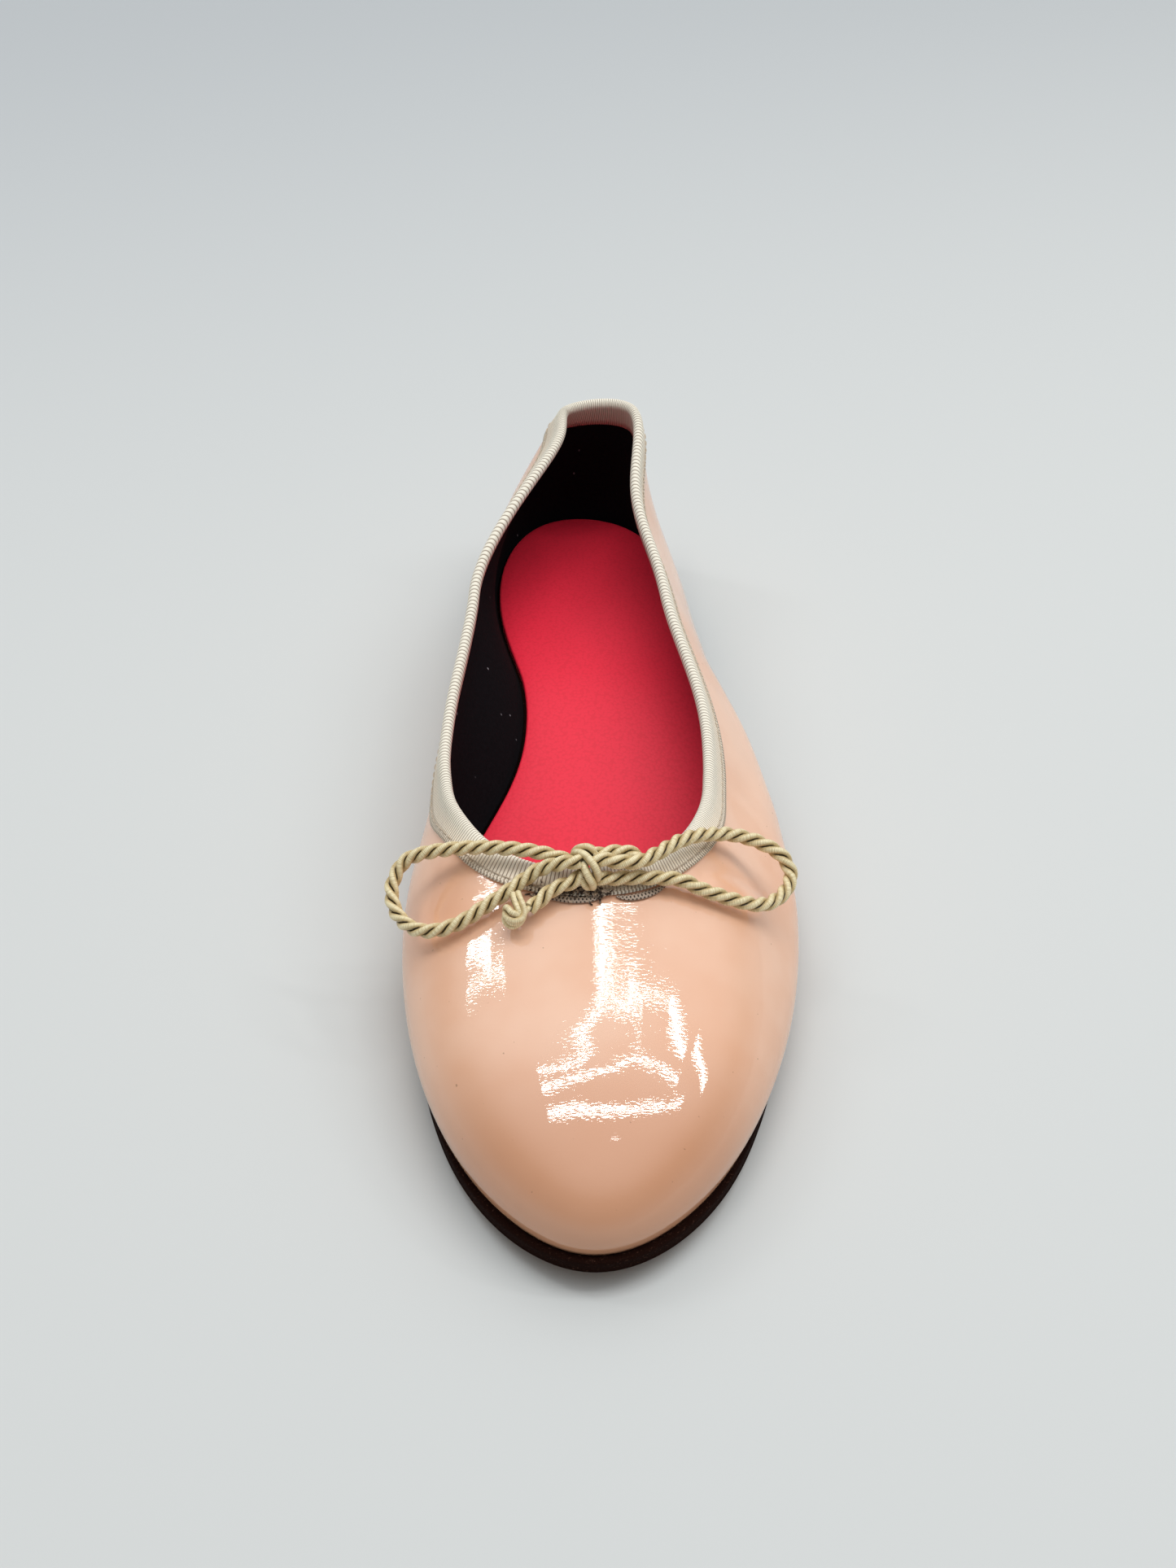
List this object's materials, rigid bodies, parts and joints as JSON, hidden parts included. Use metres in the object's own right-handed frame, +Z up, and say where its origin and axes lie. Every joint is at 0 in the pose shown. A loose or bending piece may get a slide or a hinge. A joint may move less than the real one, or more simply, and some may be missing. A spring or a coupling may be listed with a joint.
{
  "type": "ballet flat",
  "caption": "Left ballet flat: hollow patent leather upper with a folded ribbon topline and a tied cord bow, leather sole with a low stacked heel, and a leather insole",
  "frame": {"origin": "on the floor under the middle of the shoe's box, the bow left out", "axes": "+Z up; the toe points to -Y and the heel to +Y; +X is the little-toe side of this left shoe"},
  "size_m": [0.0938, 0.2484, 0.0584],
  "materials": {
    "sole_leather": "dark brown raw edge, matt, fibrous",
    "patent_leather": "high-gloss patent, slightly creased",
    "insole_leather": "fine-grained, satin",
    "ribbon": "ribbed grosgrain, matt",
    "cord": "three-strand twisted cord, silky"
  },
  "bodies": {
    "root": {"outsole": "sole_leather", "heel_lift": "sole_leather", "upper": "patent_leather", "insole": "insole_leather", "topline_ribbon": "ribbon", "bow_knot": "cord", "bow_tail_knot": "cord", "bow_loop_medial": "cord", "bow_loop_lateral": "cord", "bow_tail_medial": "cord", "bow_tail_lateral": "cord"}
  },
  "joints": []
}
